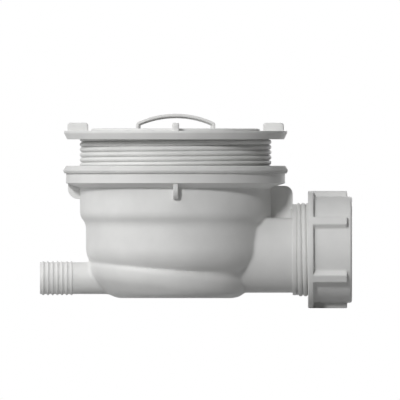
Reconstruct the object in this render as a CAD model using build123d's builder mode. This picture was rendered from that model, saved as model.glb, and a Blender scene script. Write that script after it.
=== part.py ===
from build123d import *
import os
from math import cos, radians, sin, tan

os.makedirs("parts", exist_ok=True)

# Shower trap with a screwed neck flange, a lift-out dip tube and seal cup, a compression
# outlet for 40 mm pipe and a hose tail. All sizes are in millimetres.
# The origin is on the waste axis at the underside of the flange, where the tray's surface lies.
# +Z is up, the outlet points along +X and the hose tail along -X.

# Shared wall and clearances
wall = 2.4
thread_clearance = 0.25
seat_clearance = 0.3

# Lift-out insert, which sets the bore of the neck
insert_r = 43.0
insert_clearance = 0.3
insert_rise = 1.56
insert_edge = 0.6
plate_thick = 2.4
skirt_wall = 3.2
funnel_drop = 3.0
funnel_rim = 3.0
handle_rise = 7.16
handle_foot_rise = 2.5
handle_inner_rise = 0.7
handle_thick = 2.3
handle_width = 5.0
handle_corner_r = 2.6

# Seal ring round the insert
ring_seal_section = 1.8
ring_seal_clearance = 0.05
ring_seal_depth = 4.6

# Neck flange
flange_thick = 4.54
flange_overhang = 7.25
flange_taper = 1.6
flange_lip = 1.2
neck_wall = 4.75
neck_skirt_wall = 3.5
neck_thread_depth = 1.05
neck_thread_pitch = 2.55
neck_thread_width = 2.3
neck_thread_start = 0.5
ledge_depth = 6.5
ledge_width = 2.0
ledge_thick = 2.2
lug_height = 4.4
lug_length = 11.1
lug_inset = 1.7
lug_thick = 3.4
lug_corner_r = 1.5

# Rim gasket, between the tray and the rim of the body
clamp_gap = 13.26
gasket_thick = 3.98
gasket_clearance = 0.4
gasket_overhang = 0.55
gasket_top_inset = 0.15
gasket_lip = 1.0
gasket_lip_drop = 2.19

# Bowl of the body
rim_wall = 6.5
rim_height = 5.35
rim_edge = 0.5
rim_cone = 1.8
bowl_inset = 0.59
bowl_upper = 14.5
bowl_step = 3.06
bowl_step_height = 8.2
bowl_lower = 9.9
bowl_edge_r = 12.75

# Sump, a dish on an axis that leans towards the outlet, with a level bottom
sump_drop = 12.85
sump_shift = 2.5
sump_tilt = 5.5
sump_mid_drop = 3.05
sump_bulge = 8.8
sump_band_top = 1.8
sump_band_bottom = 0.8
sump_shoulder = 3.3
sump_shoulder_rise = 3.2
sump_cone_angle = 48.0
sump_edge_r = 2.0
mouth_inset = 1.95

# Seal cup, hung in the neck
cup_clearance = 3.0
cup_wall = 1.8
cup_floor_gap = 7.7
cup_edge = 3.0
hanger_ring_thick = 3.0
hanger_thick = 2.4
hanger_drop = 14.0
hanger_count = 4
weir_gap = 5.5
rise_gap = 6.0
dip_gap = 6.5

# Outlet passage and threaded socket
pipe_r = 20.0
pipe_clearance = 0.3
pipe_stop = 0.7
passage_rise = 2.75
passage_length = 10.94
passage_flat_rise = 16.25
socket_wall = 2.9
socket_mouth = 1.9
spigot_length = 20.3
outlet_thread_depth = 0.7
outlet_thread_pitch = 2.309
outlet_thread_width = 2.1
outlet_thread_start = 2.59

# Outlet nut, seal and washer
nut_length = 22.5
nut_wall = 2.6
nut_end_wall = 3.7
nut_hole_clearance = 0.5
nut_rib_height = 3.15
nut_rib_width = 4.4
nut_rib_spread = 1.6
nut_rib_count = 6
nut_collar = 2.75
nut_end_collar = 2.5
nut_end_step = 0.75
nut_edge = 0.6
outlet_seal_thick = 4.5
outlet_seal_nose = 1.2
outlet_seal_slack = 0.2
washer_thick = 1.8

# Hose tail
tail_rise = 10.2
tail_r = 8.0
tail_length = 69.2
tail_tip = 0.5
tail_ridge_count = 7
tail_ridge_pitch = 2.4
tail_ridge_width = 1.7
tail_ridge_depth = 0.7

# Stiffening ribs
rib_thick = 2.4
rib_inset = 0.95
rib_height = 7.6
rib_corner_r = 5.2
web_drop = 0.8
web_corner_r = 3.3

# Radii worked out from the insert outwards
neck_bore_r = insert_r + insert_clearance
thread_root_r = neck_bore_r + neck_wall
thread_crest_r = thread_root_r + neck_thread_depth
neck_skirt_r = thread_root_r - neck_skirt_wall
ledge_r = neck_bore_r - ledge_width
flange_bottom_r = thread_root_r + flange_overhang
flange_top_r = flange_bottom_r + flange_taper
gasket_bore_r = thread_crest_r + gasket_clearance
rim_bore_r = thread_crest_r + thread_clearance
rim_r = rim_bore_r + rim_wall
gasket_bottom_r = rim_r + gasket_overhang
gasket_top_r = rim_r - gasket_top_inset
bowl_r = rim_bore_r - bowl_inset
bowl_lower_r = bowl_r - bowl_step
bowl_floor_r = bowl_lower_r - bowl_edge_r

# Radii worked out from the bowl inwards
mouth_r = bowl_floor_r - mouth_inset
sump_r = mouth_r + sump_bulge
cup_r = mouth_r - cup_clearance
dip_r = cup_r - cup_wall - rise_gap
dip_bore_r = dip_r - wall
skirt_bore_r = insert_r - skirt_wall
groove_r = neck_bore_r - ring_seal_section - 2 * ring_seal_clearance

# Levels
flange_top_z = flange_thick
plate_top_z = flange_top_z + insert_rise
ledge_top_z = -ledge_depth
skirt_bottom_z = ledge_top_z + hanger_ring_thick
gasket_top_z = -clamp_gap
rim_top_z = gasket_top_z - gasket_thick
rim_bottom_z = rim_top_z - rim_height
neck_bottom_z = rim_bottom_z + seat_clearance
step_top_z = rim_bottom_z - bowl_upper
step_bottom_z = step_top_z - bowl_step_height
edge_top_z = step_bottom_z - bowl_lower
bowl_bottom_z = edge_top_z - bowl_edge_r
sump_mid_z = bowl_bottom_z - sump_mid_drop
sump_bottom_z = bowl_bottom_z - sump_drop
sump_floor_z = sump_bottom_z + wall
cup_bottom_z = sump_floor_z + cup_floor_gap
cup_rim_z = ledge_top_z - weir_gap
dip_end_z = cup_bottom_z + cup_wall + dip_gap

# Outlet and tail sizes
socket_r = pipe_r + pipe_clearance
passage_bore_r = socket_r - pipe_stop
passage_r = passage_bore_r + wall
outlet_root_r = socket_r + socket_wall
outlet_crest_r = outlet_root_r + outlet_thread_depth
outlet_z = sump_bottom_z + passage_rise + passage_r
passage_flat_z = outlet_z + passage_flat_rise
shoulder_x = bowl_r + passage_length
spigot_end_x = shoulder_x + spigot_length
washer_x = spigot_end_x + outlet_seal_thick
nut_wall_x = washer_x + washer_thick
nut_end_x = nut_wall_x + nut_end_wall
nut_start_x = nut_end_x - nut_length
nut_bore_r = outlet_crest_r + thread_clearance
nut_barrel_r = nut_bore_r + nut_wall
nut_rib_r = nut_barrel_r + nut_rib_height
nut_hole_r = socket_r + nut_hole_clearance
tail_z = sump_bottom_z + tail_rise
outlet_axis = Axis((0, 0, outlet_z), (1, 0, 0))
tail_axis = Axis((0, 0, tail_z), (1, 0, 0))

# The sump's own axis and the plane through it
tilt_sin = sin(radians(sump_tilt))
tilt_cos = cos(radians(sump_tilt))
sump_origin = (-sump_shift, 0, sump_mid_z)
sump_axis = Axis(sump_origin, (tilt_sin, 0, tilt_cos))
sump_plane = Plane(sump_origin, x_dir=(tilt_cos, 0, -tilt_sin), z_dir=(0, -1, 0))


def radial_plane(angle):
    """Upright plane through the waste axis, with local X pointing outwards and local Y up."""
    turn = radians(angle)
    return Plane((0, 0, 0), x_dir=(cos(turn), sin(turn), 0), z_dir=(sin(turn), -cos(turn), 0))


def ridges(start, count, pitch, width, root, crest):
    """Places along an axis, with radii, of a run of ring ridges, as a thread or barbs show from the side."""
    points = []
    for turn in range(count):
        middle = start + (turn + 0.5) * pitch
        points += [(middle - width / 2, root), (middle, crest), (middle + width / 2, root)]
    return points


def sump_section(inset):
    """Half section of the sump about its own axis, drawn a given distance inside the outer face."""
    band_r = sump_r - inset
    cone_drop = sump_drop + bowl_edge_r
    shoulder = (band_r - sump_shoulder, sump_band_top + sump_shoulder_rise - inset / 2)
    crown = (band_r - sump_bulge - sump_shoulder, sump_band_top + sump_shoulder_rise + sump_bulge / 2)
    with BuildSketch(sump_plane) as section:
        with BuildLine():
            Line((0, crown[1]), crown)
            Line(crown, shoulder)
            if inset:
                Line((band_r, sump_band_top - inset / 2), shoulder)
            else:
                TangentArc((band_r, sump_band_top), shoulder, tangent=(0, 1))
            Polyline(
                (band_r, sump_band_top - inset / 2),
                (band_r, -sump_band_bottom),
                (band_r - cone_drop * tan(radians(sump_cone_angle)), -sump_band_bottom - cone_drop),
                (0, -sump_band_bottom - cone_drop),
                (0, crown[1]),
            )
        make_face()
    return section.sketch


# Neck flange: the tray flange, its threaded neck, the ledge inside it and four lugs for a cover.
# The thread has ridges where it shows, and is a plain cylinder over its crests where it is screwed in.
neck_thread_turns = int(clamp_gap / neck_thread_pitch)
neck_thread = ridges(
    neck_thread_start,
    neck_thread_turns,
    neck_thread_pitch,
    neck_thread_width,
    thread_root_r,
    thread_crest_r,
)
with BuildPart() as neck_flange:
    with BuildSketch(Plane.XZ):
        with BuildLine():
            Polyline(
                (neck_bore_r, flange_top_z),
                (flange_top_r, flange_top_z),
                (flange_top_r, flange_top_z - flange_lip),
                (flange_bottom_r, 0),
                (thread_root_r, 0),
                *[(radius, -depth) for depth, radius in neck_thread],
                (thread_crest_r, gasket_top_z - neck_thread_depth),
                (thread_crest_r, neck_bottom_z),
                (neck_skirt_r, neck_bottom_z),
                (neck_skirt_r, ledge_top_z - ledge_thick),
                (ledge_r, ledge_top_z - ledge_thick),
                (ledge_r, ledge_top_z),
                (neck_bore_r, ledge_top_z),
                close=True,
            )
        make_face()
    revolve(axis=Axis.Z)
    with BuildSketch(*[radial_plane(angle) for angle in (0, 90, 180, 270)]) as lugs:
        with Locations((flange_top_r - lug_inset, flange_top_z - lug_corner_r)):
            Rectangle(lug_length, lug_height + lug_corner_r, align=(Align.MAX, Align.MIN))
        fillet(lugs.vertices().group_by(Axis.Y)[-1], lug_corner_r)
    extrude(amount=lug_thick / 2, both=True)
neck_flange.part.label = "neck_flange"
export_step(neck_flange.part, "parts/neck_flange.step")

# Rim gasket with a pointed edge
with BuildPart() as rim_gasket:
    with BuildSketch(Plane.XZ):
        with BuildLine():
            Polyline(
                (gasket_bore_r, gasket_top_z),
                (gasket_top_r, gasket_top_z),
                (gasket_bottom_r + gasket_lip, gasket_top_z - gasket_lip_drop),
                (gasket_bottom_r, rim_top_z),
                (gasket_bore_r, rim_top_z),
                close=True,
            )
        make_face()
    revolve(axis=Axis.Z)
rim_gasket.part.label = "rim_gasket"
export_step(rim_gasket.part, "parts/rim_gasket.step")

# Hollow of the body: the bowl and its mouth, the sump, the outlet passage, the socket and the tail's bore
edge_half = (bowl_edge_r - wall) * sin(radians(45))
with BuildPart() as hollow:
    revolve(sump_section(wall), axis=sump_axis)
    split(bisect_by=Plane.XY.offset(sump_floor_z), keep=Keep.TOP)
    with BuildSketch(Plane.XZ):
        with BuildLine():
            Polyline(
                (bowl_floor_r, bowl_bottom_z + wall),
                (mouth_r, bowl_bottom_z + wall),
                (mouth_r, sump_mid_z),
                (0, sump_mid_z),
                (0, rim_top_z),
                (rim_bore_r, rim_top_z),
                (rim_bore_r, rim_bottom_z),
                (bowl_r - wall, rim_bottom_z),
                (bowl_r - wall, step_top_z),
                (bowl_lower_r - wall, step_bottom_z),
                (bowl_lower_r - wall, edge_top_z),
                (bowl_floor_r + edge_half, edge_top_z - edge_half),
                close=True,
            )
        make_face()
    revolve(axis=Axis.Z)
    with BuildSketch(Plane.YZ):
        with Locations((0, outlet_z)):
            Circle(passage_bore_r)
        with Locations((0, passage_flat_z - wall)):
            Rectangle(2 * passage_r, passage_r, align=(Align.CENTER, Align.MIN), mode=Mode.SUBTRACT)
    extrude(amount=shoulder_x + wall)
    with BuildSketch(Plane.XZ):
        with BuildLine():
            Polyline(
                (shoulder_x + wall, outlet_z),
                (shoulder_x + wall, outlet_z + socket_r),
                (spigot_end_x - socket_mouth, outlet_z + socket_r),
                (spigot_end_x, outlet_z + socket_r + socket_mouth),
                (spigot_end_x, outlet_z),
                close=True,
            )
        make_face()
    revolve(axis=outlet_axis)
    with BuildSketch(Plane.YZ):
        with Locations((0, tail_z)):
            Circle(tail_r - wall)
    extrude(amount=-tail_length)

# Body: one moulding of rim, bowl, sump, outlet, hose tail and ribs
step_middle = ((bowl_r + bowl_lower_r) / 2, (step_top_z + step_bottom_z) / 2)
outlet_thread_turns = int((nut_start_x - shoulder_x - outlet_thread_start) / outlet_thread_pitch) + 1
outlet_thread = ridges(
    shoulder_x + outlet_thread_start,
    outlet_thread_turns,
    outlet_thread_pitch,
    outlet_thread_width,
    outlet_root_r,
    outlet_crest_r,
)
tail_ridges = ridges(
    tail_tip - tail_length,
    tail_ridge_count,
    tail_ridge_pitch,
    tail_ridge_width,
    tail_r,
    tail_r + tail_ridge_depth,
)
with BuildPart() as trap_body:
    revolve(sump_section(0), axis=sump_axis)
    split(bisect_by=Plane.XY.offset(sump_bottom_z), keep=Keep.TOP)
    fillet(trap_body.edges().group_by(Axis.Z)[0], sump_edge_r)
    with BuildSketch(Plane.XZ):
        with BuildLine():
            Polyline(
                (bowl_floor_r, bowl_bottom_z),
                (0, bowl_bottom_z),
                (0, rim_top_z),
                (rim_r, rim_top_z),
                (rim_r, rim_bottom_z + rim_edge),
                (rim_r - rim_edge, rim_bottom_z),
                (bowl_r, rim_bottom_z - rim_cone),
                (bowl_r, step_top_z),
            )
            TangentArc((bowl_r, step_top_z), step_middle, tangent=(0, -1))
            TangentArc((bowl_lower_r, step_bottom_z), step_middle, tangent=(0, 1))
            Line((bowl_lower_r, step_bottom_z), (bowl_lower_r, edge_top_z))
            TangentArc((bowl_lower_r, edge_top_z), (bowl_floor_r, bowl_bottom_z), tangent=(0, -1))
        make_face()
    revolve(axis=Axis.Z)
    with BuildSketch(Plane.YZ):
        with Locations((0, outlet_z)):
            Circle(passage_r)
        with Locations((0, passage_flat_z)):
            Rectangle(2 * passage_r, passage_r, align=(Align.CENTER, Align.MIN), mode=Mode.SUBTRACT)
    extrude(amount=shoulder_x)
    with BuildSketch(Plane.XZ):
        with BuildLine():
            Polyline(
                (shoulder_x, outlet_z),
                (shoulder_x, outlet_z + outlet_root_r),
                *[(place, outlet_z + radius) for place, radius in outlet_thread],
                (outlet_thread[-1][0] + outlet_thread_depth, outlet_z + outlet_crest_r),
                (spigot_end_x, outlet_z + outlet_crest_r),
                (spigot_end_x, outlet_z),
                close=True,
            )
        make_face()
    revolve(axis=outlet_axis)
    with BuildSketch(Plane.XZ):
        with BuildLine():
            Polyline(
                (-tail_length, tail_z),
                (-tail_length, tail_z + tail_r),
                *[(place, tail_z + radius) for place, radius in tail_ridges],
                (-mouth_r, tail_z + tail_r),
                (-mouth_r, tail_z),
                close=True,
            )
        make_face()
    revolve(axis=tail_axis)
    with BuildSketch(*[radial_plane(angle) for angle in (90, 180, 270)]) as ribs:
        with Locations((rim_r - rib_inset, rim_bottom_z + rim_edge)):
            Rectangle(
                rim_r - rib_inset - bowl_r + wall / 2,
                rib_height + rim_edge,
                align=(Align.MAX, Align.MAX),
            )
        fillet(ribs.vertices().group_by(Axis.Y)[0].sort_by(Axis.X)[-1], rib_corner_r)
    extrude(amount=rib_thick / 2, both=True)
    with BuildSketch(radial_plane(0)) as web:
        with Locations((shoulder_x, rim_bottom_z - web_drop)):
            Rectangle(
                shoulder_x - bowl_r + wall / 2,
                rim_bottom_z - web_drop - passage_flat_z + wall / 2,
                align=(Align.MAX, Align.MAX),
            )
        fillet(web.vertices().group_by(Axis.Y)[-1].sort_by(Axis.X)[-1], web_corner_r)
    extrude(amount=rib_thick / 2, both=True)
    add(hollow.part, mode=Mode.SUBTRACT)
trap_body.part.label = "trap_body"
export_step(trap_body.part, "parts/trap_body.step")

# Seal cup: holds the water seal, and hangs by a ring that rests on the ledge in the neck
hanger_angles = [360 * (place + 0.5) / hanger_count for place in range(hanger_count)]
with BuildPart() as seal_cup:
    with BuildSketch(Plane.XY.offset(cup_bottom_z)):
        Circle(cup_r)
    extrude(amount=cup_rim_z - cup_bottom_z)
    chamfer(seal_cup.edges().sort_by(Axis.Z)[0], cup_edge)
    offset(amount=-cup_wall, openings=seal_cup.faces().sort_by(Axis.Z)[-1])
    with BuildSketch(Plane.XY.offset(ledge_top_z)):
        Circle(insert_r)
        Circle(skirt_bore_r, mode=Mode.SUBTRACT)
    extrude(amount=hanger_ring_thick)
    with BuildSketch(*[radial_plane(angle) for angle in hanger_angles]):
        with BuildLine():
            Polyline(
                (cup_r - cup_wall / 2, skirt_bottom_z),
                (ledge_r - insert_clearance, skirt_bottom_z),
                (ledge_r - insert_clearance, cup_rim_z),
                (cup_r - cup_wall / 2, cup_rim_z - hanger_drop),
                close=True,
            )
        make_face()
    extrude(amount=hanger_thick / 2, both=True)
seal_cup.part.label = "seal_cup"
export_step(seal_cup.part, "parts/seal_cup.step")

# Dip insert: plate, skirt, dip tube and handle in one moulding, standing on the cup's ring
groove_top_z = plate_top_z - ring_seal_depth + ring_seal_section / 2 + ring_seal_clearance
groove_bottom_z = groove_top_z - ring_seal_section - 2 * ring_seal_clearance
funnel_z = plate_top_z - funnel_drop
with BuildPart() as dip_insert:
    with BuildSketch(Plane.XZ):
        with BuildLine():
            Polyline(
                (dip_bore_r, funnel_z),
                (insert_r - funnel_rim, plate_top_z),
                (insert_r - insert_edge, plate_top_z),
                (insert_r, plate_top_z - insert_edge),
                (insert_r, groove_top_z),
                (groove_r, groove_top_z),
                (groove_r, groove_bottom_z),
                (insert_r, groove_bottom_z),
                (insert_r, skirt_bottom_z),
                (skirt_bore_r, skirt_bottom_z),
                (skirt_bore_r, plate_top_z - plate_thick),
                (dip_r, funnel_z - plate_thick),
                (dip_r, dip_end_z),
                (dip_bore_r, dip_end_z),
                close=True,
            )
        make_face()
    revolve(axis=Axis.Z)
    with BuildSketch(Plane.XZ) as handle:
        with BuildLine():
            ThreePointArc(
                (-dip_r, plate_top_z + handle_foot_rise),
                (0, plate_top_z + handle_rise),
                (dip_r, plate_top_z + handle_foot_rise),
            )
            Polyline(
                (dip_r, plate_top_z + handle_foot_rise),
                (dip_r, funnel_z - plate_thick / 2),
                (dip_bore_r, funnel_z - plate_thick / 2),
                (dip_bore_r, plate_top_z + handle_inner_rise),
            )
            ThreePointArc(
                (dip_bore_r, plate_top_z + handle_inner_rise),
                (0, plate_top_z + handle_rise - handle_thick),
                (-dip_bore_r, plate_top_z + handle_inner_rise),
            )
            Polyline(
                (-dip_bore_r, plate_top_z + handle_inner_rise),
                (-dip_bore_r, funnel_z - plate_thick / 2),
                (-dip_r, funnel_z - plate_thick / 2),
                (-dip_r, plate_top_z + handle_foot_rise),
            )
        make_face()
        fillet(handle.vertices().group_by(Axis.Y)[-1], handle_corner_r)
    extrude(amount=handle_width / 2, both=True)
dip_insert.part.label = "dip_insert"
export_step(dip_insert.part, "parts/dip_insert.step")

# Seal ring in the insert's groove
with BuildPart() as insert_seal:
    with BuildSketch(Plane.XY.offset(groove_bottom_z + ring_seal_clearance)):
        Circle(neck_bore_r - ring_seal_clearance)
        Circle(groove_r + ring_seal_clearance, mode=Mode.SUBTRACT)
    extrude(amount=ring_seal_section)
insert_seal.part.label = "insert_seal"
export_step(insert_seal.part, "parts/insert_seal.step")

# Outlet nut: collar, ribbed barrel and end wall
nut_rib_end_x = nut_end_x - nut_end_collar
nut_end_r = nut_barrel_r + nut_end_step
nut_profile = [
    (nut_start_x, nut_bore_r),
    (nut_start_x, nut_rib_r - nut_edge),
    (nut_start_x + nut_edge, nut_rib_r),
    (nut_start_x + nut_collar, nut_rib_r),
    (nut_start_x + nut_collar, nut_barrel_r),
    (nut_rib_end_x, nut_barrel_r),
    (nut_rib_end_x, nut_end_r),
    (nut_end_x - nut_edge, nut_end_r),
    (nut_end_x, nut_end_r - nut_edge),
    (nut_end_x, nut_hole_r),
    (nut_wall_x, nut_hole_r),
    (nut_wall_x, nut_bore_r),
]
rib_base_r = nut_barrel_r - nut_wall / 2
with BuildPart() as outlet_nut:
    with BuildSketch(Plane.XZ):
        with BuildLine():
            Polyline(*[(place, outlet_z + radius) for place, radius in nut_profile], close=True)
        make_face()
    revolve(axis=outlet_axis)
    with BuildSketch(Plane((nut_start_x + nut_collar, 0, outlet_z), x_dir=(0, 1, 0), z_dir=(1, 0, 0))):
        with PolarLocations(0, nut_rib_count, start_angle=90):
            Polygon(
                (nut_rib_r, -nut_rib_width / 2),
                (nut_rib_r, nut_rib_width / 2),
                (rib_base_r, nut_rib_width / 2 + nut_rib_spread),
                (rib_base_r, -nut_rib_width / 2 - nut_rib_spread),
                align=None,
            )
    extrude(amount=nut_rib_end_x - nut_start_x - nut_collar)
outlet_nut.part.label = "outlet_nut"
export_step(outlet_nut.part, "parts/outlet_nut.step")

# Outlet seal: a rubber ring with a nose in the socket's mouth
seal_r = nut_hole_r - outlet_seal_slack
nose_r = socket_r + socket_mouth - outlet_seal_nose - outlet_seal_slack
seal_profile = [
    (spigot_end_x - outlet_seal_nose, seal_r),
    (spigot_end_x - outlet_seal_nose, nose_r),
    (spigot_end_x, nose_r + outlet_seal_nose),
    (spigot_end_x, outlet_root_r),
    (washer_x, outlet_root_r),
    (washer_x, seal_r),
]
with BuildPart() as outlet_seal:
    with BuildSketch(Plane.XZ):
        with BuildLine():
            Polyline(*[(place, outlet_z + radius) for place, radius in seal_profile], close=True)
        make_face()
    revolve(axis=outlet_axis)
outlet_seal.part.label = "outlet_seal"
export_step(outlet_seal.part, "parts/outlet_seal.step")

# Slip washer between the outlet seal and the nut
with BuildPart() as slip_washer:
    with BuildSketch(Plane((washer_x, 0, outlet_z), x_dir=(0, 1, 0), z_dir=(1, 0, 0))):
        Circle(nut_bore_r - seat_clearance)
        Circle(nut_hole_r, mode=Mode.SUBTRACT)
    extrude(amount=washer_thick)
slip_washer.part.label = "slip_washer"
export_step(slip_washer.part, "parts/slip_washer.step")
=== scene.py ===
"""Looks of a white moulded shower trap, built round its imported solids."""

from math import acos, atan2, ceil, cos, hypot, pi, radians, sin, tan

import bmesh
import bpy
import numpy as np
import openvdb
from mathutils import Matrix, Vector


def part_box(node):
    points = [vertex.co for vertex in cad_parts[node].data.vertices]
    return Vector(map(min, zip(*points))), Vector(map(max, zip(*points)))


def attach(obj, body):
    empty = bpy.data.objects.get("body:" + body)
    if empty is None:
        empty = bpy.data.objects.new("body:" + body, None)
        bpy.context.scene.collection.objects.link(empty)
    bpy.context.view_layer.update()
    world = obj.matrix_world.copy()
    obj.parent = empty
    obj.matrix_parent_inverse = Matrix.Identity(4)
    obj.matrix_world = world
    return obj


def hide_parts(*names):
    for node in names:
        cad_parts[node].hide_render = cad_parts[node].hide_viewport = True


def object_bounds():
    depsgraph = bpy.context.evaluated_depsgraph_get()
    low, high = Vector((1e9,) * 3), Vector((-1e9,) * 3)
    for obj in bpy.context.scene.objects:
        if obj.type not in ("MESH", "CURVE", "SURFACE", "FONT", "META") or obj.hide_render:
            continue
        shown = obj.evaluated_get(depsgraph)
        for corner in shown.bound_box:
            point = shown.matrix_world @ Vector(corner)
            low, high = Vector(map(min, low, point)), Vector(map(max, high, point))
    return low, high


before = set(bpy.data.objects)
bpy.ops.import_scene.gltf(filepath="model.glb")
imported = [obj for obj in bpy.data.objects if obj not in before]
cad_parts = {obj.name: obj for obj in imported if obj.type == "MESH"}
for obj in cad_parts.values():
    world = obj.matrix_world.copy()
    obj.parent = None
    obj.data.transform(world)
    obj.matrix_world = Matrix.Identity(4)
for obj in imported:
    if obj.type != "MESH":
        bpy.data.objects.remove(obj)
cad_low, cad_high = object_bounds()
BODY = "root"

# Lengths in this file are millimetres, and meshes are scaled to metres as they are made
MM = 0.001


def box_mm(node):
    """Lowest and highest corner of a solid, in millimetres."""
    return [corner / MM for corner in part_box(node)]


neck_low, neck_high = box_mm("neck_flange")
gasket_low, gasket_high = box_mm("rim_gasket")
body_low, body_high = box_mm("trap_body")
insert_low, insert_high = box_mm("dip_insert")
nut_low, nut_high = box_mm("outlet_nut")
washer_high = box_mm("slip_washer")[1]

# Neck flange
flange_r = neck_high.x
flange_top = 4.54
flange_lip = 1.2
flange_taper = 1.6
flange_bottom = 0.2
neck_bore_r = 43.3
neck_root_r = 47.4
neck_thread_depth = 1.5
neck_thread_pitch = 2.62
neck_crest_front = -1.8
neck_skirt_r = 44.55
ledge_top = -6.5
ledge_thick = 2.2
ledge_r = 41.3
lug_length = 10.65
lug_inset = 1.7
lug_thick = 3.6
lug_round = 1.5
lug_edge = 0.8
lug_drop = 0.3
lug_top = neck_high.z - lug_drop
lug_root = 1
lug_angles = (0, 90, 180, 270)
flange_top_edge = 0.3
flange_lip_edge = 0.1
neck_bore_edge = 0.4
neck_edge = 0.3
ledge_edge = 0.4
ledge_root_edge = 0.5
neck_thread_gap = 0.3
neck_thread_top = 0.8

# Threads, and the angles at which the front is met about the two axes
thread_roundness = 0.5
thread_sink = 0.4
thread_back = 2
thread_steps = 12
thread_run_out = 0.7
waste_front = 1.5 * pi
outlet_front = pi / 2

# Rim gasket
gasket_bore_r = 49.5
gasket_top_r = 55.9
gasket_bottom_r = 56.05
gasket_lip_drop = 2.4
gasket_lip_r = 56.7
gasket_lip_end = 0.1
gasket_bore_edge = 0.3
gasket_top_edge = 0.5
gasket_tip_edge = 0.6
gasket_lip_edge = 0.15

# Body
wall = 2.4
rim_r = body_high.y
rim_top = body_high.z
rim_height = 5.35
rim_cone = 1.8
rim_bore_r = 49.35
rim_bottom = rim_top - rim_height
rim_lift = 0.4
rim_sink = 1.5
rim_top_edge = 0.12
rim_bottom_edge = 0.35
rim_foot = 0.3
rim_foot_sink = 0.1
rim_foot_drop = 0.6
bowl_r = 48.76
bowl_step = 3.06
bowl_step_top = rim_bottom - 14.0
bowl_step_bottom = bowl_step_top - 8.7
bowl_lower_r = bowl_r - bowl_step
bowl_edge_top = bowl_step_bottom - 9.9
bowl_edge_r = 12.75
bowl_bottom = bowl_edge_top - bowl_edge_r
bowl_floor_r = bowl_lower_r - bowl_edge_r
mouth_r = bowl_floor_r - 1.95
mouth_rise = 6
sump_bottom = body_low.z
sump_shift = 3.9
sump_tilt = radians(6.9)
sump_mid = bowl_bottom - 3.05
sump_r = mouth_r + 9.6
sump_band_top = 2.7
sump_band = 1.3
sump_band_edge = 2.0
sump_shoulder = 2.9
sump_shoulder_top = 5.9
sump_shoulder_edge = 2.0
sump_crown_inset = 9
sump_crown_rise = 4
sump_leans = [radians(lean) for lean in (6, 46, 58)]
sump_belly_radii = (10.5, 36)
sump_edge_r = 2.3
sump_fillet = 0.9
sump_fillet_outlet = 6.5
sump_fillet_span = (6, 36)
body_pitch = 0.9
body_form_top = rim_bottom + 3
hollow_pitch = 1.6
hollow_left = -46
hollow_reach = 47
hollow_fillet = 0.8

# Outlet and nut
outlet_z = (nut_low.z + nut_high.z) / 2
socket_r = 20.3
passage_bore_r = 19.6
passage_r = 22.0
passage_flat = outlet_z + 16.25
passage_edge_r = 1.4
passage_end_edge = 0.6
passage_fillet = 0.9
passage_start = 10
passage_run_on = 3
outlet_relief_r = 23.25
outlet_root_r = 22.75
outlet_thread_depth = 1.1
outlet_thread_pitch = 2.5
outlet_thread_start = 61.6
outlet_crest_front = 63.15
outlet_turns_in_nut = 2
shoulder_x = 59.7
shoulder_edge = 0.35
passage_end = shoulder_x + wall / 2
relief_edge = 0.15
relief_overlap = 0.1
spigot_end = body_high.x
spigot_edge = 0.5
socket_mouth = 1.9
socket_core = 3
socket_seat = 1
socket_overlap = 1.2
nut_start = nut_low.x
nut_end = nut_high.x
nut_collar_r = nut_high.y
nut_collar = 2.9
nut_barrel_r = 27.15
nut_bore_r = 24.15
nut_hole_r = 20.8
nut_wall_x = washer_high.x
nut_end_collar = 2.5
nut_edge_r = 0.4
nut_end_edge_r = 1.2
nut_rib_count = 6
nut_rib_width = 4.4
nut_rib_spread = 0.36
nut_rib_start = 1
nut_rib_root_r = 20
nut_core_start = 0.5
nut_lead_in = 0.6
nut_wall_edge = 0.4
nut_hole_edge = 0.3
nut_hole_chamfer = 0.5
nut_pitch = 0.42

# Hose tail
tail_tip_x = body_low.x
tail_z = sump_bottom + 10.2
tail_r = 8.15
tail_bore_r = 5.6
tail_crest = 0.65
tail_fillet = 1.4
tail_under_fillet = 0.8
tail_ridge_count = 7
tail_ridge_pitch = 2.4
tail_ridge_width = 1.7
tail_ridge_start = tail_tip_x + 0.5
tail_tip_edge = 0.3
tail_crest_edge = 0.22
tail_valley_edge = 0.25
tail_core = 2
tail_root_x = -50.0
tail_bore_end = -30
stem_overlap = 1
stem_root_x = -20

# Ribs under the rim and the web over the outlet
rib_thick = 2.4
rib_edge = 0.25
rib_r = rim_r - 0.95
rib_height = 7.6
rib_corner_r = 5.2
rib_root = 2
rib_angles = (90, 180, 270)
web_top = rim_bottom - 0.9
web_corner_r = 4.2

# Lift-out insert
insert_r = insert_high.x
plate_top = 5.75
plate_thick = 2.4
insert_edge = 0.9
skirt_bottom = -3.5
skirt_bore_r = 39.8
dip_r = 20.2
dip_bore_r = 17.8
dip_end = insert_low.z
funnel_drop = 3.0
funnel_rim = 3.0
groove_r = 41.4
groove_top = 2.45
groove_bottom = 0.55
handle_top = insert_high.z
handle_thick = 2.3
handle_width = 5.0
handle_edge = 0.5
handle_strip = 0.7
handle_rib_width = 1.8
handle_rib_edge = 0.3
handle_foot = 8.6
handle_inner_foot = 7.3
handle_corner_r = 1.6
handle_least_corner_r = 0.3
insert_fillet = 0.8
groove_edge = 0.2
skirt_edge = 0.4
skirt_root_edge = 0.5
dip_edge = 0.5

# Mesh making. The two smallest lengths are in metres, and the lattice's margin and steps in its own cells
merge_distance = 1e-7
sliver = 1e-8
overcut = 1
box_room = 1
slab_edge_points = 5
lattice_margin = 2
settle_rounds = 3
settle_step = 0.5
least_slope = 0.05

# Points, outlines and meshes


def supported(outline, guard=0.12, shortest=0.6):
    """The outline with a point near both ends of each straight, so that the straight shades flat."""
    points = []
    for here, following in zip(outline, [*outline[1:], outline[0]]):
        points.append(here)
        length = np.linalg.norm(following - here)
        if length > shortest:
            points += [here + (following - here) * share for share in (guard / length, 1 - guard / length)]
    return points


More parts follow.
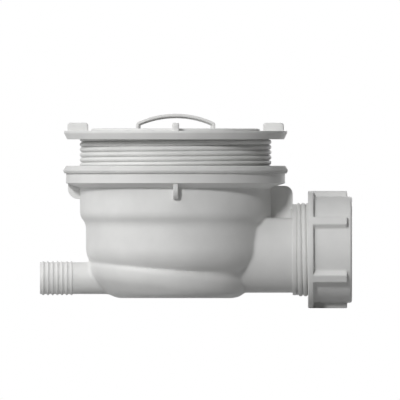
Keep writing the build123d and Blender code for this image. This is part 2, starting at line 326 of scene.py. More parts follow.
def rounded(corners, chord=0.3, least_steps=3):
    """Closed outline through corners (x, y, fillet radius), with each fillet as short chords."""
    outline = []
    for index, (x, y, radius) in enumerate(corners):
        here = np.array((x, y))
        if not radius:
            outline.append(here)
            continue
        back = np.array(corners[index - 1][:2]) - here
        ahead = np.array(corners[(index + 1) % len(corners)][:2]) - here
        back /= np.linalg.norm(back)
        ahead /= np.linalg.norm(ahead)
        half = acos(np.clip(back @ ahead, -1, 1)) / 2
        middle = here + (back + ahead) / np.linalg.norm(back + ahead) * radius / sin(half)
        spoke = here + back * radius / tan(half) - middle
        turn = pi - 2 * half
        sense = np.sign(back[1] * ahead[0] - back[0] * ahead[1])
        steps = max(least_steps, ceil(turn * radius / chord))
        for step in range(steps + 1):
            angle = sense * turn * step / steps
            across = np.array((-spoke[1], spoke[0]))
            outline.append(middle + spoke * cos(angle) + across * sin(angle))
    return supported(outline)


def mesh_object(name, points, faces):
    """Object from points in millimetres, with its faces turned outwards."""
    mesh = bpy.data.meshes.new(name)
    places = (np.asarray(points, float) * MM).tolist()
    mesh.from_pydata(places, [], [list(map(int, face)) for face in faces])
    work = bmesh.new()
    work.from_mesh(mesh)
    bmesh.ops.remove_doubles(work, verts=work.verts, dist=merge_distance)
    bmesh.ops.dissolve_degenerate(work, edges=work.edges, dist=sliver)
    bmesh.ops.recalc_face_normals(work, faces=work.faces)
    work.to_mesh(mesh)
    work.free()
    made = bpy.data.objects.new(name, mesh)
    bpy.context.scene.collection.objects.link(made)
    return made


def about_waste(radius, along, angle):
    """Point on a circle about the waste axis, along it by a height."""
    return np.stack(np.broadcast_arrays(radius * np.cos(angle), radius * np.sin(angle), along), axis=-1)


def about_outlet(radius, along, angle, axis_z=None):
    """Point on a circle about the outlet's axis. Angle 0 is up and a quarter turn is towards the front."""
    level = outlet_z if axis_z is None else axis_z
    place = np.broadcast_arrays(along, -radius * np.sin(angle), level + radius * np.cos(angle))
    return np.stack(place, axis=-1)


def about_tail(radius, along, angle):
    """Point on a circle about the hose tail's axis."""
    return about_outlet(radius, along, angle, tail_z)


def ring_grid(points):
    """Points and faces of a grid that closes round its rows. Its first and last columns coincide."""
    columns, rows = points.shape[:2]
    index = np.arange(columns * rows).reshape(columns, rows)
    above = np.roll(index, -1, axis=1)
    faces = np.stack((index[:-1], index[1:], above[1:], above[:-1]), axis=-1)
    return points.reshape(-1, 3), faces.reshape(-1, 4)


def turned(name, outline, place, segments=240):
    """Closed mesh of an outline of (radius, along) turned about an axis."""
    radius, along = np.array(outline, float).T
    angle = np.linspace(0, 2 * pi, segments + 1)[:, None]
    return mesh_object(name, *ring_grid(place(radius, along, angle)))


def eased(value):
    """Smooth step from 0 to 1."""
    share = np.clip(value, 0, 1)
    return share * share * (3 - 2 * share)


def thread_sleeve(name, place, low, high, root_r, depth, pitch, crest, crest_angle, segments=240):
    """Closed ring with a helical thread that fades out at both ends. Its rows follow the helix."""
    sunk_r = root_r - thread_back
    base = crest - pitch * crest_angle / (2 * pi)
    first = int(np.floor((low - pitch - base) / pitch * thread_steps))
    last = int(np.ceil((high - base) / pitch * thread_steps))
    phase = np.arange(first, last + 1) / thread_steps
    angle = np.linspace(0, 2 * pi, segments + 1)[:, None]
    along = np.clip(base + pitch * (phase + angle / (2 * pi)), low, high)
    fade = eased((along - low) / thread_run_out) * eased((high - along) / thread_run_out)
    radius = root_r + depth * np.abs(np.cos(pi * phase)) ** thread_roundness * fade
    end = np.ones(angle.shape)
    radius = np.hstack((sunk_r * end, radius, sunk_r * end))
    along = np.hstack((low * end, along, high * end))
    return mesh_object(name, *ring_grid(place(radius, along, angle)))


def slab(name, corners, thick, edge, angle=0):
    """Upright plate with round edges, turned about the waste axis. Corners: outwards, level, fillet."""
    outline = np.array(rounded(corners))
    following = np.roll(outline, -1, axis=0)
    ahead = following - outline
    ahead /= np.linalg.norm(ahead, axis=1)[:, None]
    normal = np.stack((ahead[:, 1], -ahead[:, 0]), axis=-1)
    before = np.roll(normal, 1, axis=0)
    miter = (normal + before) / (1 + (normal * before).sum(axis=1))[:, None]
    area = (outline[:, 0] * following[:, 1] - outline[:, 1] * following[:, 0]).sum()
    miter *= np.sign(area)
    quarter = np.linspace(0, pi / 2, slab_edge_points)
    half = [(thick / 2 - edge + edge * sin(turn), edge * (1 - cos(turn))) for turn in quarter]
    rings = [*reversed(half), *[(-across, inset) for across, inset in half]]
    points = []
    for across, inset in rings:
        for outwards, level in outline - inset * miter:
            points.append(
                (
                    outwards * cos(angle) - across * sin(angle),
                    outwards * sin(angle) + across * cos(angle),
                    level,
                )
            )
    index = np.arange(len(points)).reshape(len(rings), len(outline))
    beside = np.roll(index, -1, axis=1)
    sides = np.stack((index[:-1], beside[:-1], beside[1:], index[1:]), axis=-1).reshape(-1, 4)
    return mesh_object(name, points, [*sides, index[0][::-1], index[-1]])


def boolean(piece, tools, operation):
    """Joins solids to a piece, or cuts them from it, and removes them."""
    for tool in tools:
        step = piece.modifiers.new("boolean", "BOOLEAN")
        step.operation = operation
        step.solver = "MANIFOLD"
        step.object = tool
    graph = bpy.context.evaluated_depsgraph_get()
    result = bpy.data.meshes.new_from_object(piece.evaluated_get(graph))
    piece.modifiers.clear()
    piece.data = result
    for tool in tools:
        bpy.data.objects.remove(tool)
    return piece


# Distance fields, for forms that run into each other with a fillet


def outline_distance(outline, x, y, tiny=1e-12):
    """Signed distance of points to a closed outline, negative inside."""
    shape = np.broadcast(x, y).shape
    nearest = np.full(shape, np.inf)
    inside = np.zeros(shape, bool)
    for (x0, y0), (x1, y1) in zip(outline, [*outline[1:], outline[0]]):
        run, rise = x1 - x0, y1 - y0
        share = np.clip(((x - x0) * run + (y - y0) * rise) / (run * run + rise * rise + tiny), 0, 1)
        nearest = np.minimum(nearest, (x - x0 - share * run) ** 2 + (y - y0 - share * rise) ** 2)
        if rise:
            inside ^= ((y0 > y) != (y1 > y)) & (x < run * (y - y0) / rise + x0)
    return np.where(inside, -1, 1) * np.sqrt(nearest)


def turned_distance(outline, radius, along, spacing=0.2, spare=3):
    """Signed distance to a turned solid, read between the points of a fine flat lattice."""
    low_a = float(along.min())
    count_r = int(float(radius.max()) / spacing) + spare
    count_a = int((float(along.max()) - low_a) / spacing) + spare
    lattice_r, lattice_a = np.meshgrid(
        np.arange(count_r) * spacing, low_a + np.arange(count_a) * spacing, indexing="ij"
    )
    lattice = outline_distance(outline, lattice_r, lattice_a).astype(np.float32)
    r = radius / spacing
    a = (along - low_a) / spacing
    r0 = r.astype(np.int32)
    a0 = a.astype(np.int32)
    r = r - r0
    a = a - a0
    low = lattice[r0, a0] * (1 - r) + lattice[r0 + 1, a0] * r
    high = lattice[r0, a0 + 1] * (1 - r) + lattice[r0 + 1, a0 + 1] * r
    return low * (1 - a) + high * a


def joined(one, other, fillet):
    """Union of two fields with a round fillet between them."""
    near = np.hypot(np.maximum(fillet - one, 0), np.maximum(fillet - other, 0))
    return np.maximum(fillet, np.minimum(one, other)) - near


def shared(one, other, edge):
    """Intersection of two fields with a rounded edge."""
    far = np.hypot(np.maximum(edge + one, 0), np.maximum(edge + other, 0))
    return np.minimum(-edge, np.maximum(one, other)) + far


def lattice_points(low, high, pitch):
    """Coordinates of a regular lattice over a box and a margin round it, as three arrays."""
    before, after = lattice_margin * pitch, (lattice_margin + 1) * pitch
    axes = [
        np.arange(start - before, stop + after, pitch, dtype=np.float32) for start, stop in zip(low, high)
    ]
    return np.meshgrid(*axes, indexing="ij", sparse=True)


def field_mesh(name, field, low, pitch):
    """Closed mesh of the zero level of a field on a lattice, with its points settled on that level."""
    grid = openvdb.FloatGrid((lattice_margin + 1) * pitch)
    grid.copyFromArray(field)
    points, quads = grid.convertToQuads(isovalue=0.0)
    for _ in range(settle_rounds):
        cell = np.clip(points.astype(np.int32), 0, np.array(field.shape) - 2)
        part = points - cell
        i0, j0, k0 = cell.T
        corners = [
            [[field[i0 + i, j0 + j, k0 + k] for k in (0, 1)] for j in (0, 1)] for i in (0, 1)
        ]
        x, y, z = part.T
        flat = [[corners[i][j][0] * (1 - z) + corners[i][j][1] * z for j in (0, 1)] for i in (0, 1)]
        line = [flat[i][0] * (1 - y) + flat[i][1] * y for i in (0, 1)]
        value = line[0] * (1 - x) + line[1] * x
        slope_x = line[1] - line[0]
        slope_y = (flat[0][1] - flat[0][0]) * (1 - x) + (flat[1][1] - flat[1][0]) * x
        deep = [[corners[i][j][1] - corners[i][j][0] for j in (0, 1)] for i in (0, 1)]
        across = [deep[i][0] * (1 - y) + deep[i][1] * y for i in (0, 1)]
        slope_z = across[0] * (1 - x) + across[1] * x
        slope = np.stack((slope_x, slope_y, slope_z), axis=-1)
        size = np.maximum((slope**2).sum(axis=1), least_slope * pitch**2)
        move = -(value / size)[:, None] * slope
        points = points + np.clip(move, -settle_step, settle_step)
    start = np.array([axis - lattice_margin * pitch for axis in low])
    return mesh_object(name, points * pitch + start, quads)


# Body


def s_curve(outer_r, inner_r, top, bottom, steps=10):
    """Points of two equal arcs that take an upright wall smoothly from one radius to a smaller one."""
    half_width = (outer_r - inner_r) / 2
    half_height = (top - bottom) / 2
    arc_r = (half_width**2 + half_height**2) / (2 * half_width)
    full = atan2(half_height, arc_r - half_width)
    upper = [
        (outer_r - arc_r * (1 - cos(full * step / steps)), top - arc_r * sin(full * step / steps))
        for step in range(steps + 1)
    ]
    lower = [(outer_r + inner_r - r, top + bottom - z) for r, z in reversed(upper[:-1])]
    return upper + lower


def bowl_outline(inset):
    """Section of the bowl, past its axis, drawn a given distance inside its outer face."""
    top = rim_bottom + rim_height / 2
    arc = [
        (
            bowl_floor_r + (bowl_edge_r - inset) * cos(radians(angle)),
            bowl_edge_top - (bowl_edge_r - inset) * sin(radians(angle)),
        )
        for angle in range(0, 91, 5)
    ]
    step = s_curve(bowl_r - inset, bowl_lower_r - inset, bowl_step_top, bowl_step_bottom)
    return [(-bowl_r, bowl_bottom + inset), (-bowl_r, top), (bowl_r - inset, top), *step, *arc]


def sump_outline(inset):
    """Section of the sump about its leaning axis, and past it, a given distance inside its outer face."""
    place = np.array((sump_r - inset, sump_band_top - inset / 2))
    shoulder = (sump_r - inset - sump_shoulder, sump_shoulder_top - inset)
    crown = (shoulder[0] - sump_crown_inset, shoulder[1] + sump_crown_rise)
    corners = [(-sump_r, crown[1], 0), (*crown, 0)]
    corners += [(*shoulder, sump_shoulder_edge), (*place, sump_band_edge)]
    straight = sump_band
    for lean, next_lean, outer_r in zip(sump_leans, sump_leans[1:], sump_belly_radii):
        belly_r = outer_r - inset
        tangent = belly_r * tan((next_lean - lean) / 2)
        place = place - (straight + tangent) * np.array((sin(lean), cos(lean)))
        corners.append((*place, belly_r))
        straight = tangent
    corners.append((-sump_r, place[1] - (place[0] + sump_r) / tan(sump_leans[-1]), 0))
    return rounded(corners)


def sump_distance(inset, bottom, x, y, z):
    """Distance to the leaning sump, cut level at its bottom."""
    dx = x + sump_shift
    dz = z - sump_mid
    along = dx * sin(sump_tilt) + dz * cos(sump_tilt)
    radius = np.hypot(dx * cos(sump_tilt) - dz * sin(sump_tilt), y)
    return shared(turned_distance(sump_outline(inset), radius, along), bottom - z, sump_edge_r)


def passage_distance(radius, flat, start, end, x, y, z):
    """Distance to a flat-topped round passage along X."""
    section = shared(np.hypot(y, z - outlet_z) - radius, z - flat, passage_edge_r)
    return shared(section, np.maximum(start - x, x - end), passage_end_edge)


def body_form():
    """Outer form of the bowl, sump, outlet passage and hose stem, which run into each other."""
    stem_tip_x = tail_root_x - stem_overlap
    low = (stem_tip_x - box_room, -bowl_r, sump_bottom)
    high = (passage_end, bowl_r, body_form_top)
    x, y, z = lattice_points(low, high, body_pitch)
    radius = np.hypot(x, y)
    form = turned_distance(bowl_outline(0), radius, z)
    fillet_start, fillet_end = sump_fillet_span
    outwards = eased((x - fillet_start) / (fillet_end - fillet_start))
    fillet = sump_fillet + (sump_fillet_outlet - sump_fillet) * outwards
    form = joined(form, sump_distance(0, sump_bottom, x, y, z), fillet)
    passage = passage_distance(passage_r, passage_flat, passage_start, passage_end, x, y, z)
    form = joined(form, passage, passage_fillet)
    stem = np.maximum(np.hypot(y, z - tail_z) - tail_r, np.maximum(x - stem_root_x, stem_tip_x - x))
    upper = np.clip((z - tail_z + tail_r) / tail_r, 0, 1)
    form = joined(form, stem, tail_under_fillet + (tail_fillet - tail_under_fillet) * upper)
    form = np.maximum(form, sump_bottom - z)
    return field_mesh("trap_body_form", form, low, body_pitch)


def body_hollow():
    """Hollow of the bowl, the sump and the outlet passage."""
    end = shoulder_x + passage_run_on
    low = (hollow_left, -hollow_reach, sump_bottom)
    high = (end + box_room, hollow_reach, rim_top)
    x, y, z = lattice_points(low, high, hollow_pitch)
    radius = np.hypot(x, y)
    form = turned_distance(bowl_outline(wall), radius, z)
    mouth = np.maximum(radius - mouth_r, np.maximum(z - bowl_bottom - mouth_rise, sump_mid - z))
    form = np.minimum(form, mouth)
    form = joined(form, sump_distance(wall, sump_bottom + wall, x, y, z), hollow_fillet)
    passage = passage_distance(passage_bore_r, passage_flat - wall, 0, end, x, y, z)
    form = joined(form, passage, hollow_fillet)
    return field_mesh("trap_body_hollow", form, low, hollow_pitch)


def body_rim():
    """The body's rim, which runs into the bowl with a cone."""
    inner = bowl_r - rim_sink
    cone_bottom = rim_bottom - rim_cone
    corners = [
        (inner, rim_top, 0),
        (rim_r, rim_top, rim_top_edge),
        (rim_r, rim_bottom + rim_lift, rim_bottom_edge),
        (bowl_r + rim_foot, cone_bottom, 0),
        (bowl_r - rim_foot_sink, cone_bottom - rim_foot_drop, 0),
        (inner, cone_bottom - 2 * rim_foot_drop, 0),
    ]
    return turned("rim", rounded(corners), about_waste, segments=288)


def body_ribs():
    """The ribs under the rim, and the web over the outlet."""
    mid_wall = bowl_r - wall / 2
    rib_corners = [
        (mid_wall, rim_bottom + rib_root, 0),
        (rib_r, rim_bottom + rib_root, 0),
        (rib_r, rim_bottom - rib_height, rib_corner_r),
        (mid_wall, rim_bottom - rib_height, 0),
    ]
    ribs = [slab("rib", rib_corners, rib_thick, rib_edge, radians(angle)) for angle in rib_angles]
    web_corners = [
        (mid_wall, web_top, 0),
        (shoulder_x, web_top, web_corner_r),
        (shoulder_x, passage_flat - wall / 2, 0),
        (mid_wall, passage_flat - wall / 2, 0),
    ]
    return [*ribs, slab("web", web_corners, rib_thick, rib_edge)]


def body_socket():
    """The outlet's socket, and the thread on it, which ends inside the nut."""
    corners = [
        (socket_r - socket_core, shoulder_x - socket_overlap, 0),
        (passage_r - socket_seat, shoulder_x - socket_overlap, 0),
        (passage_r - socket_seat, shoulder_x, 0),
        (outlet_relief_r, shoulder_x, shoulder_edge),
        (outlet_relief_r, outlet_thread_start + relief_overlap, relief_edge),
        (outlet_root_r - thread_sink, outlet_thread_start + relief_overlap, 0),
        (outlet_root_r - thread_sink, spigot_end, spigot_edge),
        (socket_r - socket_core, spigot_end, 0),
    ]
    thread = thread_sleeve(
        "thread",
        about_outlet,
        low=outlet_thread_start,
        high=nut_start + outlet_turns_in_nut * outlet_thread_pitch,
        root_r=outlet_root_r,
        depth=outlet_thread_depth,
        pitch=outlet_thread_pitch,
        crest=outlet_crest_front,
        crest_angle=outlet_front,
        segments=192,
    )
    return [turned("socket", rounded(corners), about_outlet), thread]


def body_tail():
    """The ridged end of the hose tail."""
    crests = []
    for turn in range(tail_ridge_count):
        middle = tail_ridge_start + (turn + 0.5) * tail_ridge_pitch
        crests += [
            (tail_r, middle - tail_ridge_width / 2, tail_valley_edge),
            (tail_r + tail_crest, middle, tail_crest_edge),
            (tail_r, middle + tail_ridge_width / 2, tail_valley_edge),
        ]
    corners = [
        (tail_bore_r - tail_core, tail_tip_x, 0),
        (tail_r, tail_tip_x, tail_tip_edge),
        *crests,
        (tail_r, tail_root_x, 0),
        (tail_bore_r - tail_core, tail_root_x, 0),
    ]
    return turned("tail", rounded(corners), about_tail, segments=96)


def body_bores():
    """Tools that bore the rim, the socket with its open mouth, and the hose tail."""
    rim_bore = [
        (0, rim_top + overcut),
        (rim_bore_r, rim_top + overcut),
        (rim_bore_r, rim_bottom),
        (0, rim_bottom),
    ]
    socket_bore = [
        (0, shoulder_x + wall),
        (socket_r, shoulder_x + wall),
        (socket_r, spigot_end - socket_mouth),
        (socket_r + socket_mouth + overcut, spigot_end + overcut),
        (0, spigot_end + overcut),
    ]
    tail_bore = [
        (0, tail_tip_x - overcut),
        (tail_bore_r, tail_tip_x - overcut),
        (tail_bore_r, tail_bore_end),
        (0, tail_bore_end),
    ]
    return [
        turned("rim_bore", rim_bore, about_waste),
        turned("socket_bore", socket_bore, about_outlet, segments=180),
        turned("tail_bore", tail_bore, about_tail, segments=96),
    ]


def make_body():
    """The body: one hollow moulding with its rim, ribs, outlet thread and ridged hose tail."""
    body = body_form()
    boolean(body, [body_rim(), *body_ribs(), *body_socket(), body_tail()], "UNION")
    return boolean(body, [body_hollow(), *body_bores()], "DIFFERENCE")


# Neck, gasket and insert


def make_neck():
    """The tray flange with its four lugs, on a neck with a helical thread."""
    corners = [
        (neck_bore_r, flange_top, neck_bore_edge),
        (flange_r, flange_top, flange_top_edge),
        (flange_r, flange_top - flange_lip, flange_lip_edge),
        (flange_r - flange_taper, flange_bottom, neck_edge),
        (neck_root_r - thread_sink, flange_bottom, 0),
        (neck_root_r - thread_sink, neck_low.z, neck_edge),
        (neck_skirt_r, neck_low.z, neck_edge),
        (neck_skirt_r, ledge_top - ledge_thick, ledge_root_edge),
        (ledge_r, ledge_top - ledge_thick, ledge_edge),
        (ledge_r, ledge_top, ledge_edge),
        (neck_bore_r, ledge_top, neck_edge),
    ]
    neck = turned("neck", rounded(corners), about_waste, segments=288)
    thread = thread_sleeve(
        "neck_thread",
        about_waste,
        low=neck_low.z + neck_thread_gap,
        high=neck_thread_top,
        root_r=neck_root_r,
        depth=neck_thread_depth,
        pitch=neck_thread_pitch,
        crest=neck_crest_front,
        crest_angle=waste_front,
        segments=288,
    )
    outer = flange_r - lug_inset
    lug_corners = [
        (outer - lug_length, flange_top - lug_root, 0),
        (outer, flange_top - lug_root, 0),
        (outer, lug_top, lug_round),
        (outer - lug_length, lug_top, lug_round),
    ]
    lugs = [slab("lug", lug_corners, lug_thick, lug_edge, radians(angle)) for angle in lug_angles]
    return boolean(neck, [thread, *lugs], "UNION")


def make_gasket():
    """The soft ring between the tray and the body's rim, with its pointed edge."""
    corners = [
        (gasket_bore_r, gasket_high.z, gasket_bore_edge),
        (gasket_top_r, gasket_high.z, gasket_top_edge),
        (gasket_high.x, gasket_high.z - gasket_lip_drop, gasket_tip_edge),
        (gasket_lip_r, gasket_low.z + gasket_lip_end, gasket_lip_edge),
        (gasket_bottom_r, gasket_low.z, 0),
        (gasket_bore_r, gasket_low.z, gasket_bore_edge),
    ]
    return turned("gasket", rounded(corners), about_waste)


def arc_points(half_width, foot, top, count=14):
    """Points, left to right, of an arc that stands on two feet at one level."""
    rise = top - foot
    radius = (half_width**2 + rise**2) / (2 * rise)
    half = atan2(half_width, radius - rise)
    turns = np.linspace(-half, half, count + 1)
    return [(radius * sin(turn), top - radius + radius * cos(turn)) for turn in turns]


def handle_band(name, outer, inner, width, edge):
    """Band of the arched handle between two shares of its thickness, on feet that reach into the funnel."""

    def arc(share):
        reach = dip_r + (dip_bore_r - dip_r) * share
        level = handle_foot + (handle_inner_foot - handle_foot) * share
        return arc_points(reach, level, handle_top - handle_thick * share)

    upper, lower = arc(outer), arc(inner)
    foot = plate_top - funnel_drop - plate_thick / 2
    corner = max(handle_corner_r - handle_thick * outer, handle_least_corner_r)
    ends = (0, len(upper) - 1)
    corners = [(x, z, corner if index in ends else 0) for index, (x, z) in enumerate(upper)]
    corners += [(upper[-1][0], foot, 0), (lower[-1][0], foot, 0)]
    corners += [(x, z, 0) for x, z in reversed(lower)]
    corners += [(lower[0][0], foot, 0), (upper[0][0], foot, 0)]
    return slab(name, corners, width, edge)


def make_insert():
    """The lift-out insert: plate with funnel and skirt, dip tube, and handle."""
    funnel = plate_top - funnel_drop
    corners = [
        (dip_bore_r, funnel, insert_fillet),
        (insert_r - funnel_rim, plate_top, insert_fillet),
        (insert_r, plate_top, insert_edge),
        (insert_r, groove_top, groove_edge),
        (groove_r, groove_top, 0),
        (groove_r, groove_bottom, 0),
        (insert_r, groove_bottom, groove_edge),
        (insert_r, skirt_bottom, skirt_edge),
        (skirt_bore_r, skirt_bottom, skirt_edge),
        (skirt_bore_r, plate_top - plate_thick, skirt_root_edge),
        (dip_r, funnel - plate_thick, insert_fillet),
        (dip_r, dip_end, dip_edge),
        (dip_bore_r, dip_end, dip_edge),
    ]
    insert = turned("insert", rounded(corners), about_waste)
    strip = handle_band("handle_strip", 0, handle_strip, handle_width, handle_edge)
    rib = handle_band("handle_rib", handle_strip / 2, 1, handle_rib_width, handle_rib_edge)
    return boolean(insert, [strip, rib], "UNION")


# Nut


def nut_form():
    """Outer form of the nut: a collar, a barrel with ribs that widen inwards, and an end collar."""
    low = (nut_start, -nut_collar_r, outlet_z - nut_collar_r)
    high = (nut_end, nut_collar_r, outlet_z + nut_collar_r)
    x, y, z = lattice_points(low, high, nut_pitch)
    up = z - outlet_z
    rib_end = nut_end - nut_end_collar
    corners = [
        (0, nut_start, 0),
        (nut_collar_r, nut_start, nut_edge_r),
        (nut_collar_r, nut_start + nut_collar, nut_edge_r),
        (nut_barrel_r, nut_start + nut_collar, nut_edge_r),
        (nut_barrel_r, nut_end, nut_end_edge_r),
        (0, nut_end, 0),
    ]
    radius = np.hypot(y, up)
    collars = turned_distance(rounded(corners), radius, x)
    length = np.maximum(nut_start + nut_core_start - x, x - rib_end)
    form = np.maximum(radius - nut_barrel_r, length)
    for rib in range(nut_rib_count):
        angle = 2 * pi * rib / nut_rib_count
        outwards = up * cos(angle) - y * sin(angle)
        across = up * sin(angle) + y * cos(angle)
        half = nut_rib_width / 2 + nut_rib_spread * (nut_collar_r - outwards)
        side = (np.abs(across) - half) / hypot(1, nut_rib_spread)
        section = np.maximum(shared(outwards - nut_collar_r, side, nut_edge_r), nut_rib_root_r - outwards)
        ends = np.maximum(nut_start + nut_rib_start - x, x - rib_end)
        form = joined(form, shared(section, ends, nut_edge_r), nut_edge_r)
    return field_mesh("nut", np.minimum(form, collars), low, nut_pitch)


def make_nut():
    """The outlet nut: its outer form with a stepped bore."""
    corners = [
        (0, nut_start - overcut, 0),
        (nut_bore_r + nut_lead_in + overcut, nut_start - overcut, 0),
        (nut_bore_r, nut_start + nut_lead_in, 0),
        (nut_bore_r, nut_wall_x, nut_wall_edge),
        (nut_hole_r, nut_wall_x, nut_hole_edge),
        (nut_hole_r, nut_end - nut_hole_chamfer, 0),
        (nut_hole_r + nut_hole_chamfer + overcut, nut_end + overcut, 0),
        (0, nut_end + overcut, 0),
    ]
    bore = turned("nut_bore", rounded(corners), about_outlet, segments=180)
    return boolean(nut_form(), [bore], "DIFFERENCE")


# Materials: noise scales are per metre, and heights and depths are in metres
cloud_scale = 60
cloud_span = (0.35, 0.65)
gloss_scale = 350
gloss_span = (0.3, 0.7)
gloss_change = (-0.05, 0.06)
grain_scale = 2600
grain_height = 0.00006
wave_scale = 45
wave_height = 0.0004
wave_strength = 0.03
noise_roughness = 0.55
glow_depth = 0.003


def moulded(name, colour, rough, specular, grain, mottle=0.03, glow=0.0):
    """Moulded plastic or rubber: fine mould grain, faint waviness, and slightly uneven gloss and colour."""
    material = bpy.data.materials.new(name)
    material.use_nodes = True
    nodes = material.node_tree.nodes
    links = material.node_tree.links
    shader = nodes["Principled BSDF"]
    shader.inputs["Specular IOR Level"].default_value = specular
    shader.inputs["Subsurface Weight"].default_value = glow
    shader.inputs["Subsurface Radius"].default_value = (1, 1, 1)
    shader.inputs["Subsurface Scale"].default_value = glow_depth
    place = nodes.new("ShaderNodeTexCoord").outputs["Object"]

    def noise(scale, detail):
        texture = nodes.new("ShaderNodeTexNoise")
        texture.inputs["Scale"].default_value = scale
        texture.inputs["Detail"].default_value = detail
        texture.inputs["Roughness"].default_value = noise_roughness
        links.new(place, texture.inputs["Vector"])
        return texture.outputs["Fac"]

    def spread(value, low, high):
        step = nodes.new("ShaderNodeMapRange")
        step.inputs["From Min"].default_value = gloss_span[0]
        step.inputs["From Max"].default_value = gloss_span[1]
        step.inputs["To Min"].default_value = low
        step.inputs["To Max"].default_value = high
        links.new(value, step.inputs["Value"])
        return step.outputs["Result"]

    ramp = nodes.new("ShaderNodeValToRGB")
    for stop, share in zip(ramp.color_ramp.elements, (1 - mottle, 1 + mottle)):
        stop.color = (*[min(1, channel * share) for channel in colour], 1)
    ramp.color_ramp.elements[0].position = cloud_span[0]
    ramp.color_ramp.elements[1].position = cloud_span[1]
    links.new(noise(cloud_scale, detail=3), ramp.inputs["Fac"])
    links.new(ramp.outputs["Color"], shader.inputs["Base Color"])
    gloss = spread(noise(gloss_scale, detail=4), rough + gloss_change[0], rough + gloss_change[1])
    links.new(gloss, shader.inputs["Roughness"])
    fine = nodes.new("ShaderNodeBump")
    fine.inputs["Strength"].default_value = grain
    fine.inputs["Distance"].default_value = grain_height
    links.new(noise(grain_scale, detail=3), fine.inputs["Height"])
    wave = nodes.new("ShaderNodeBump")
    wave.inputs["Strength"].default_value = wave_strength
    wave.inputs["Distance"].default_value = wave_height
    links.new(noise(wave_scale, detail=1), wave.inputs["Height"])
    links.new(wave.outputs["Normal"], fine.inputs["Normal"])
    links.new(fine.outputs["Normal"], shader.inputs["Normal"])
    return material


white_plastic = moulded("white_plastic", (0.78, 0.78, 0.77), rough=0.55, specular=0.3, grain=0.5)
soft_plastic = moulded(
    "white_plastic_soft", (0.70, 0.70, 0.69), rough=0.65, specular=0.1, grain=0.7, glow=1.0
)
inner_plastic = moulded("inner_plastic", (0.76, 0.76, 0.75), rough=0.5, specular=0.14, grain=0.5)
seal_rubber = moulded("seal_rubber", (0.03, 0.03, 0.03), rough=0.65, specular=0.3, grain=0.9, mottle=0.15)


def dress(piece, name, node, material, crease=42):
    """Names and shades a piece, and puts it in its solid's place."""
    piece.name = name
    piece.data.name = name
    piece.data.materials.clear()
    piece.data.materials.append(material)
    piece.data.shade_smooth()
    piece.data.set_sharp_from_angle(angle=radians(crease))
    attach(piece, BODY)
    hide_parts(node)


dress(make_body(), "body_moulding", "trap_body", white_plastic)
dress(make_neck(), "neck_moulding", "neck_flange", white_plastic)
dress(make_gasket(), "gasket_ring", "rim_gasket", soft_plastic)
dress(make_insert(), "insert_moulding", "dip_insert", white_plastic)
dress(make_nut(), "nut_moulding", "outlet_nut", white_plastic)
for node, material in (
    ("seal_cup", inner_plastic),
    ("slip_washer", inner_plastic),
    ("insert_seal", seal_rubber),
    ("outlet_seal", seal_rubber),
):
    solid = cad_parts[node]
    solid.data.materials.clear()
    solid.data.materials.append(material)


# Stage, light and camera, in metres
target = Vector((12.44, 0, -30.75)) * MM
view_width = 204 * MM
camera_distance = 3.0
ambient = 0.015
floor_half = 1.2
floor_grey = 0.44
floor_glow = 0.86


def seen_by_eye(tree):
    """Output that is 1 for camera, glossy and transmission rays, and 0 for the others."""
    path = tree.nodes.new("ShaderNodeLightPath")
    total = path.outputs["Is Camera Ray"]
    for name in ("Is Glossy Ray", "Is Transmission Ray"):
        step = tree.nodes.new("ShaderNodeMath")
        step.operation = "MAXIMUM"
        tree.links.new(total, step.inputs[0])
        tree.links.new(path.outputs[name], step.inputs[1])
        total = step.outputs[0]
    return total


def make_floor():
    """Pale floor under the object that looks white and keeps a shadow."""
    level = float(cad_low.z)
    corners = [(x * floor_half, y * floor_half, level) for x, y in ((-1, -1), (1, -1), (1, 1), (-1, 1))]
    mesh = bpy.data.meshes.new("floor")
    mesh.from_pydata(corners, [], [(0, 1, 2, 3)])
    floor = bpy.data.objects.new("floor", mesh)
    bpy.context.scene.collection.objects.link(floor)
    material = bpy.data.materials.new("floor_white")
    material.use_nodes = True
    tree = material.node_tree
    shader = tree.nodes["Principled BSDF"]
    shader.inputs["Base Color"].default_value = (floor_grey, floor_grey, floor_grey, 1)
    shader.inputs["Roughness"].default_value = 0.9
    shader.inputs["Specular IOR Level"].default_value = 0
    shader.inputs["Emission Color"].default_value = (1, 1, 1, 1)
    lift = tree.nodes.new("ShaderNodeMath")
    lift.operation = "MULTIPLY"
    lift.inputs[1].default_value = floor_glow
    tree.links.new(seen_by_eye(tree), lift.inputs[0])
    tree.links.new(lift.outputs[0], shader.inputs["Emission Strength"])
    mesh.materials.append(material)


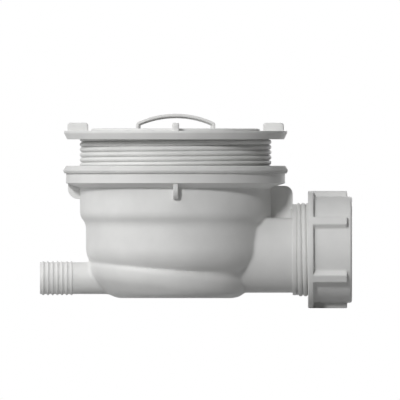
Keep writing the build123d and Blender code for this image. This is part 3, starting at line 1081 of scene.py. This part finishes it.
def make_world():
    """White surroundings for the eye, and a dim soft light from all round for the object."""
    world = bpy.data.worlds.new("studio")
    bpy.context.scene.world = world
    world.use_nodes = True
    tree = world.node_tree
    output = tree.nodes["World Output"]
    dim = tree.nodes["Background"]
    dim.inputs["Color"].default_value = (1, 1, 1, 1)
    dim.inputs["Strength"].default_value = ambient
    white = tree.nodes.new("ShaderNodeBackground")
    white.inputs["Color"].default_value = (1, 1, 1, 1)
    white.inputs["Strength"].default_value = 1
    mix = tree.nodes.new("ShaderNodeMixShader")
    tree.links.new(seen_by_eye(tree), mix.inputs["Fac"])
    tree.links.new(dim.outputs["Background"], mix.inputs[1])
    tree.links.new(white.outputs["Background"], mix.inputs[2])
    tree.links.new(mix.outputs["Shader"], output.inputs["Surface"])


def make_lamp(name, azimuth, elevation, distance, size, light):
    """Round lamp aimed at the object. Azimuth 0 is at the camera and positive is to its right."""
    lamp = bpy.data.lights.new(name, "AREA")
    lamp.shape = "DISK"
    lamp.size = size
    lamp.energy = light * pi**2 * (distance**2 + (size / 2) ** 2)
    made = bpy.data.objects.new(name, lamp)
    bpy.context.scene.collection.objects.link(made)
    side, rise = radians(azimuth), radians(elevation)
    away = Vector((sin(side) * cos(rise), -cos(side) * cos(rise), sin(rise)))
    made.location = target + away * distance
    made.rotation_euler = away.to_track_quat("Z", "Y").to_euler()


def make_camera():
    """Camera in front of the object and level with it, with no perspective, as in a very long lens."""
    lens = bpy.data.cameras.new("camera")
    lens.type = "ORTHO"
    lens.ortho_scale = view_width
    camera = bpy.data.objects.new("camera", lens)
    bpy.context.scene.collection.objects.link(camera)
    away = Vector((0, -1, 0))
    camera.location = target + away * camera_distance
    camera.rotation_euler = away.to_track_quat("Z", "Y").to_euler()
    bpy.context.scene.camera = camera


make_camera()
make_floor()
make_world()
make_lamp("key", azimuth=-18, elevation=23, distance=2.5, size=0.35, light=0.467)
make_lamp("side", azimuth=-88, elevation=26, distance=2.0, size=1.1, light=0.197)
make_lamp("fill", azimuth=-55, elevation=34, distance=2.0, size=1.9, light=0.246)
make_lamp("top", azimuth=0, elevation=80, distance=2.0, size=1.2, light=0.1)
make_lamp("back", azimuth=168, elevation=8, distance=2.0, size=1.4, light=0.33)
bpy.context.scene.view_settings.view_transform = "Standard"
